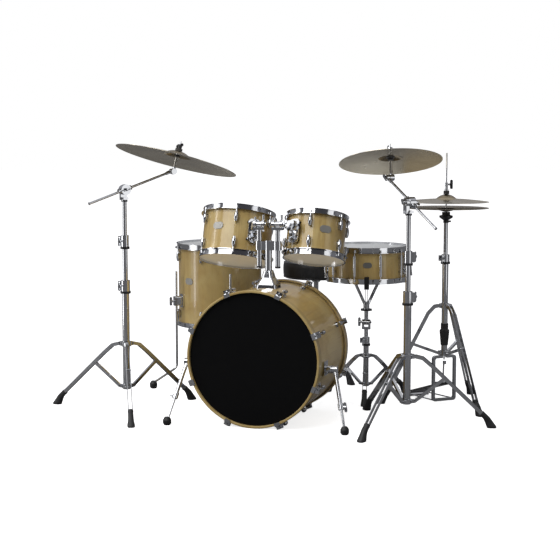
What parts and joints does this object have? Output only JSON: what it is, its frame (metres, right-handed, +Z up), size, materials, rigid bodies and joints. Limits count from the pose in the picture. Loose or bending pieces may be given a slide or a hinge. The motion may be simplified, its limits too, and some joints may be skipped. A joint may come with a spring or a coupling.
{
  "type": "acoustic drum kit",
  "caption": "Acoustic drum kit in natural wood: bass drum, rack toms, floor tom and snare, boom-mounted ride and crash, hi-hat, pedals and a round throne.",
  "frame": {"origin": "on the floor under the middle of the whole kit's bounding box", "axes": "+Z up, -Y towards the audience, +Y towards the drummer, +X towards the hi-hat (the right of a viewer in the audience)"},
  "size_m": [1.9976, 1.6931, 1.1864],
  "materials": {
    "bass_batter_head": "matte",
    "bass_front_head": "glossy",
    "bass_hoops": "glossy",
    "bass_lugs_and_claws": "polished",
    "bass_shell": "glossy",
    "bass_spur_left": "polished",
    "bass_spur_right": "polished",
    "crash_cymbal": "satin",
    "floor_tom_heads": "matte",
    "floor_tom_hoops": "polished",
    "floor_tom_legs": "polished",
    "floor_tom_lugs": "polished",
    "floor_tom_shell": "glossy",
    "hihat_bottom_cymbal": "satin",
    "hihat_footboard": "polished",
    "hihat_rod": "polished",
    "hihat_stand_legs": "polished",
    "hihat_top_cymbal": "satin",
    "hihat_tube": "polished",
    "left_boom": "polished",
    "left_boom_clamp": "polished",
    "left_cymbal_tilter": "polished",
    "left_stand_legs": "polished",
    "left_stand_middle": "polished",
    "left_stand_top": "polished",
    "left_tom_heads": "matte",
    "left_tom_hoops": "polished",
    "left_tom_lugs": "polished",
    "left_tom_mount": "polished",
    "left_tom_shell": "glossy",
    "pedal_beater": "polished",
    "pedal_footboard": "polished",
    "pedal_frame": "polished",
    "ride_cymbal": "satin",
    "right_boom": "polished",
    "right_boom_clamp": "polished",
    "right_cymbal_tilter": "polished",
    "right_stand_legs": "polished",
    "right_stand_middle": "polished",
    "right_stand_top": "polished",
    "right_tom_heads": "matte",
    "right_tom_hoops": "polished",
    "right_tom_lugs": "polished",
    "right_tom_mount": "polished",
    "right_tom_shell": "glossy",
    "snare_basket": "polished",
    "snare_heads": "matte",
    "snare_hoops": "polished",
    "snare_lever": "polished",
    "snare_lugs": "polished",
    "snare_shell": "glossy",
    "snare_stand_legs": "polished",
    "snare_stand_tube": "polished",
    "snare_wires": "polished",
    "stand_feet": "matte",
    "throne_legs": "polished",
    "throne_seat": "satin",
    "tom_arm_left": "polished",
    "tom_arm_right": "polished",
    "tom_holder": "polished"
  },
  "bodies": {
    "kit": {"bass_shell": "bass_shell", "bass_hoops": "bass_hoops", "bass_front_head": "bass_front_head", "bass_batter_head": "bass_batter_head", "bass_lugs_and_claws": "bass_lugs_and_claws", "tom_holder": "tom_holder", "pedal_frame": "pedal_frame", "floor_tom_legs": "floor_tom_legs", "snare_stand_legs": "snare_stand_legs", "left_stand_legs": "left_stand_legs", "right_stand_legs": "right_stand_legs", "hihat_stand_legs": "hihat_stand_legs", "throne_legs": "throne_legs", "stand_feet": "stand_feet"},
    "spur_left": {"bass_spur_left": "bass_spur_left"},
    "spur_right": {"bass_spur_right": "bass_spur_right"},
    "arm_left": {"tom_arm_left": "tom_arm_left"},
    "arm_right": {"tom_arm_right": "tom_arm_right"},
    "floor_tom": {"floor_tom_shell": "floor_tom_shell", "floor_tom_hoops": "floor_tom_hoops", "floor_tom_heads": "floor_tom_heads", "floor_tom_lugs": "floor_tom_lugs"},
    "snare_tube": {"snare_stand_tube": "snare_stand_tube"},
    "snare_drum": {"snare_basket": "snare_basket", "snare_shell": "snare_shell", "snare_hoops": "snare_hoops", "snare_heads": "snare_heads", "snare_lugs": "snare_lugs", "snare_wires": "snare_wires"},
    "snare_lever": {"snare_lever": "snare_lever"},
    "hihat_upper": {"hihat_tube": "hihat_tube", "hihat_bottom_cymbal": "hihat_bottom_cymbal"},
    "hihat_pull": {"hihat_rod": "hihat_rod", "hihat_top_cymbal": "hihat_top_cymbal"},
    "hihat_pedal": {"hihat_footboard": "hihat_footboard"},
    "seat": {"throne_seat": "throne_seat"},
    "bass_pedal": {"pedal_footboard": "pedal_footboard"},
    "beater": {"pedal_beater": "pedal_beater"},
    "left_tom": {"left_tom_shell": "left_tom_shell", "left_tom_hoops": "left_tom_hoops", "left_tom_heads": "left_tom_heads", "left_tom_lugs": "left_tom_lugs", "left_tom_mount": "left_tom_mount"},
    "left_middle": {"left_stand_middle": "left_stand_middle"},
    "left_top": {"left_stand_top": "left_stand_top"},
    "left_clamp": {"left_boom_clamp": "left_boom_clamp"},
    "left_boom": {"left_boom": "left_boom"},
    "left_tilter": {"left_cymbal_tilter": "left_cymbal_tilter"},
    "right_tom": {"right_tom_shell": "right_tom_shell", "right_tom_hoops": "right_tom_hoops", "right_tom_heads": "right_tom_heads", "right_tom_lugs": "right_tom_lugs", "right_tom_mount": "right_tom_mount"},
    "right_middle": {"right_stand_middle": "right_stand_middle"},
    "right_top": {"right_stand_top": "right_stand_top"},
    "right_clamp": {"right_boom_clamp": "right_boom_clamp"},
    "right_boom": {"right_boom": "right_boom"},
    "right_tilter": {"right_cymbal_tilter": "right_cymbal_tilter"},
    "ride": {"ride_cymbal": "ride_cymbal"},
    "crash": {"crash_cymbal": "crash_cymbal"}
  },
  "joints": [
    {"name": "spur_left_fold", "type": "hinge", "parent": "kit", "child": "spur_left", "pos_m": [-0.28537, -0.59419, 0.25], "axis": [1, 0, 0], "range_deg": [-60, 0]},
    {"name": "spur_right_fold", "type": "hinge", "parent": "kit", "child": "spur_right", "pos_m": [0.34663, -0.59419, 0.25], "axis": [1, 0, 0], "range_deg": [-60, 0]},
    {"name": "left_tom_height", "type": "slide", "parent": "kit", "child": "arm_left", "axis": [0, 0, 1], "range_m": [-0.02, 0.066]},
    {"name": "left_tom_tilt", "type": "hinge", "parent": "arm_left", "child": "left_tom", "pos_m": [-0.01037, -0.47419, 0.837], "axis": [1, 0, 0], "range_deg": [-3, 17]},
    {"name": "right_tom_height", "type": "slide", "parent": "kit", "child": "arm_right", "axis": [0, 0, 1], "range_m": [-0.02, 0.066]},
    {"name": "right_tom_tilt", "type": "hinge", "parent": "arm_right", "child": "right_tom", "pos_m": [0.07163, -0.47419, 0.837], "axis": [1, 0, 0], "range_deg": [-3, 17]},
    {"name": "floor_tom_height", "type": "slide", "parent": "kit", "child": "floor_tom", "axis": [0, 0, 1], "range_m": [-0.06, 0.05]},
    {"name": "snare_height", "type": "slide", "parent": "kit", "child": "snare_tube", "axis": [0, 0, 1], "range_m": [-0.035, 0.1]},
    {"name": "snare_tilt", "type": "hinge", "parent": "snare_tube", "child": "snare_drum", "pos_m": [0.31963, 0.09581, 0.352], "axis": [1, 0, 0], "range_deg": [-10, 12]},
    {"name": "snare_throw_off", "type": "hinge", "parent": "snare_drum", "child": "snare_lever", "pos_m": [0.52235, 0.08519, 0.637], "axis": [-0.0523, -0.9986, 0], "range_deg": [0, 80]},
    {"name": "left_stand_height", "type": "slide", "parent": "kit", "child": "left_middle", "axis": [0, 0, 1], "range_m": [-0.03, 0.15]},
    {"name": "left_top_height", "type": "slide", "parent": "left_middle", "child": "left_top", "axis": [0, 0, 1], "range_m": [-0.02, 0.1]},
    {"name": "left_boom_tilt", "type": "hinge", "parent": "left_top", "child": "left_clamp", "pos_m": [-0.62137, -0.50519, 0.977], "axis": [0.7517, -0.6595, 0], "range_deg": [-6, 30]},
    {"name": "left_boom_slide", "type": "slide", "parent": "left_clamp", "child": "left_boom", "axis": [0.5392, 0.7883, 0.2963], "range_m": [-0.06, 0.06]},
    {"name": "left_cymbal_tilt", "type": "hinge", "parent": "left_boom", "child": "left_tilter", "pos_m": [-0.47073, -0.31835, 1.05194], "axis": [0.7517, -0.6595, 0], "range_deg": [-12, 15]},
    {"name": "ride_spin", "type": "hinge", "parent": "left_tilter", "child": "ride", "pos_m": [-0.44637, -0.30469, 1.1428], "axis": [0.1781, 0.2141, 0.9604], "continuous": true},
    {"name": "right_stand_height", "type": "slide", "parent": "kit", "child": "right_middle", "axis": [0, 0, 1], "range_m": [-0.015, 0.15]},
    {"name": "right_top_height", "type": "slide", "parent": "right_middle", "child": "right_top", "axis": [0, 0, 1], "range_m": [-0.02, 0.1]},
    {"name": "right_boom_tilt", "type": "hinge", "parent": "right_top", "child": "right_clamp", "pos_m": [0.63063, -0.45119, 0.937], "axis": [0.7648, 0.6442, 0], "range_deg": [-6, 25]},
    {"name": "right_boom_slide", "type": "slide", "parent": "right_clamp", "child": "right_boom", "axis": [-0.659, 0.5419, 0.5215], "range_m": [-0.06, 0.06]},
    {"name": "right_cymbal_tilt", "type": "hinge", "parent": "right_boom", "child": "right_tilter", "pos_m": [0.52181, -0.33752, 1.03462], "axis": [0.7648, 0.6442, 0], "range_deg": [-12, 15]},
    {"name": "crash_spin", "type": "hinge", "parent": "right_tilter", "child": "crash", "pos_m": [0.51763, -0.30569, 1.1327], "axis": [-0.1159, 0.2489, 0.9616], "continuous": true},
    {"name": "hihat_height", "type": "slide", "parent": "kit", "child": "hihat_upper", "axis": [0, 0, 1], "range_m": [0, 0.1]},
    {"name": "hihat_pedal_press", "type": "hinge", "parent": "kit", "child": "hihat_pedal", "pos_m": [0.53918, 0.21694, 0.018], "axis": [0.7547, 0.6561, 0], "range_deg": [0, 5.3], "stiffness_Nm_per_rad": 20, "springref_deg": -28.65},
    {"name": "hihat_pull", "type": "slide", "parent": "hihat_upper", "child": "hihat_pull", "axis": [0, 0, 1], "range_m": [-0.0225, 0]},
    {"name": "throne_height", "type": "slide", "parent": "kit", "child": "seat", "axis": [0, 0, 1], "range_m": [-0.05, 0.1]},
    {"name": "pedal_press", "type": "hinge", "parent": "kit", "child": "bass_pedal", "pos_m": [0.03063, 0.09581, 0.02], "axis": [1, 0, 0], "range_deg": [0, 12], "stiffness_Nm_per_rad": 8, "springref_deg": -28.65},
    {"name": "beater_swing", "type": "hinge", "parent": "kit", "child": "beater", "pos_m": [0.03063, -0.19619, 0.152], "axis": [1, 0, 0], "range_deg": [0, 41.5]}
  ],
  "couplings": [
    {"joint": "hihat_pull", "follows": "hihat_pedal_press", "m_per_rad": -0.24},
    {"joint": "beater_swing", "follows": "pedal_press", "ratio": 3.4167}
  ]
}
